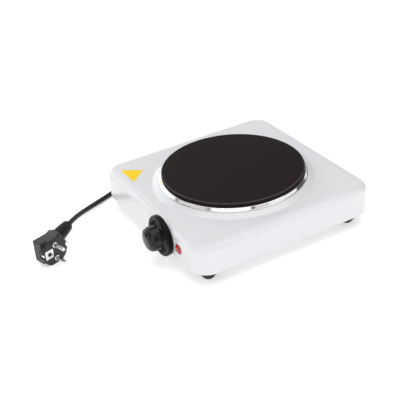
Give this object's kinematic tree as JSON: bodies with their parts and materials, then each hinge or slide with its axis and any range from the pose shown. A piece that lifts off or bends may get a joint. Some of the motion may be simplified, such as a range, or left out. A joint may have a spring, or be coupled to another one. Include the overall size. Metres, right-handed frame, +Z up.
{
  "type": "hot plate burner",
  "caption": "Free-standing electric hot plate: square enamelled housing on rubber feet, round cast-iron plate with steel ring, front thermostat knob, pilot lamp and mains cord.",
  "frame": {"origin": "on the floor, under the middle of the appliance's own box, knob included and cord left out", "axes": "+Z up, +X to the right seen from the front, +Y to the back; the knob and the lamp face -Y"},
  "size_m": [0.3131, 0.3926, 0.0694],
  "materials": {
    "enamel": "glossy white vitreous enamel",
    "galvanised_steel": "satin zinc",
    "cast_iron": "matte heat-proof black-brown coating",
    "stainless": "polished",
    "plated_steel": "bright nickel or zinc plate",
    "black_rubber": "matte",
    "black_gloss_plastic": "glossy moulded",
    "black_pvc": "satin flexible PVC",
    "spring_steel": "oxidised spring steel",
    "brass": "plain",
    "ceramic": "unglazed steatite or cream nylon",
    "red_lens": "clear red polycarbonate",
    "neon_glass": "clear",
    "brown_wire": "silicone sleeve",
    "blue_wire": "silicone sleeve",
    "green_wire": "green and yellow insulation",
    "sticker": "semi-gloss printed film"
  },
  "bodies": {
    "body": {"housing": "enamel", "base_plate": "galvanised_steel", "foot_front_left": "black_rubber", "foot_screw_front_left": "plated_steel", "foot_front_right": "black_rubber", "foot_screw_front_right": "plated_steel", "foot_rear_left": "black_rubber", "foot_screw_rear_left": "plated_steel", "foot_rear_right": "black_rubber", "foot_screw_rear_right": "plated_steel", "hot_plate": "cast_iron", "spill_ring": "stainless", "heating_coil": "spring_steel", "heat_shield": "galvanised_steel", "element_terminal_block": "ceramic", "element_spade_inner": "brass", "element_spade_outer": "brass", "clamp_bridge": "galvanised_steel", "centre_stud": "plated_steel", "stud_washer": "plated_steel", "stud_nut": "plated_steel", "knob_bezel": "black_gloss_plastic", "bush_nut": "plated_steel", "thermostat_bush": "brass", "thermostat_frame": "galvanised_steel", "fixed_contact_arm": "brass", "bimetal_strip": "spring_steel", "stack_spacer_front": "ceramic", "stack_spacer_middle": "ceramic", "stack_spacer_rear": "ceramic", "stack_rivet": "plated_steel", "lamp_lens": "red_lens", "neon_tube": "neon_glass", "lamp_clip": "plated_steel", "cord_strain_relief": "black_rubber", "cord_tail": "black_pvc", "cord_anchor_block": "ceramic", "cord_clamp": "plated_steel", "clamp_screw": "plated_steel", "mains_terminal_block": "ceramic", "live_wire": "brown_wire", "neutral_wire": "blue_wire", "earth_wire": "green_wire", "earth_screw": "brass", "live_lead": "brown_wire", "neutral_lead": "blue_wire", "switched_lead": "brown_wire", "power_cord_body_side": "black_pvc", "power_cord_plug_side": "black_pvc", "cord_coil": "black_pvc", "cord_tie": "black_rubber", "plug_body": "black_pvc", "plug_pin_upper": "plated_steel", "plug_pin_lower": "plated_steel", "plug_earth_plate": "plated_steel", "yellow_sticker": "sticker"},
    "knob_and_spindle": {"knob": "black_gloss_plastic", "spindle": "plated_steel"},
    "push_pin": {"push_pin": "ceramic"},
    "contact_arm": {"moving_contact_arm": "spring_steel"}
  },
  "joints": [
    {"name": "knob_turn", "type": "hinge", "parent": "body", "child": "knob_and_spindle", "pos_m": [0.042, -0.1149, 0.037], "axis": [0, 1, 0], "range_deg": [0, 270]},
    {"name": "push_pin_travel", "type": "slide", "parent": "body", "child": "push_pin", "axis": [0, 1, 0], "range_m": [0, 0.0004]},
    {"name": "contact_arm_swing", "type": "hinge", "parent": "body", "child": "contact_arm", "pos_m": [0.018, -0.09235, 0.037], "axis": [0, 0, 1], "range_deg": [0, 0.96]}
  ],
  "couplings": [
    {"joint": "push_pin_travel", "follows": "knob_turn", "m_per_rad": 0.0000848},
    {"joint": "contact_arm_swing", "follows": "knob_turn", "ratio": 0.00353}
  ]
}
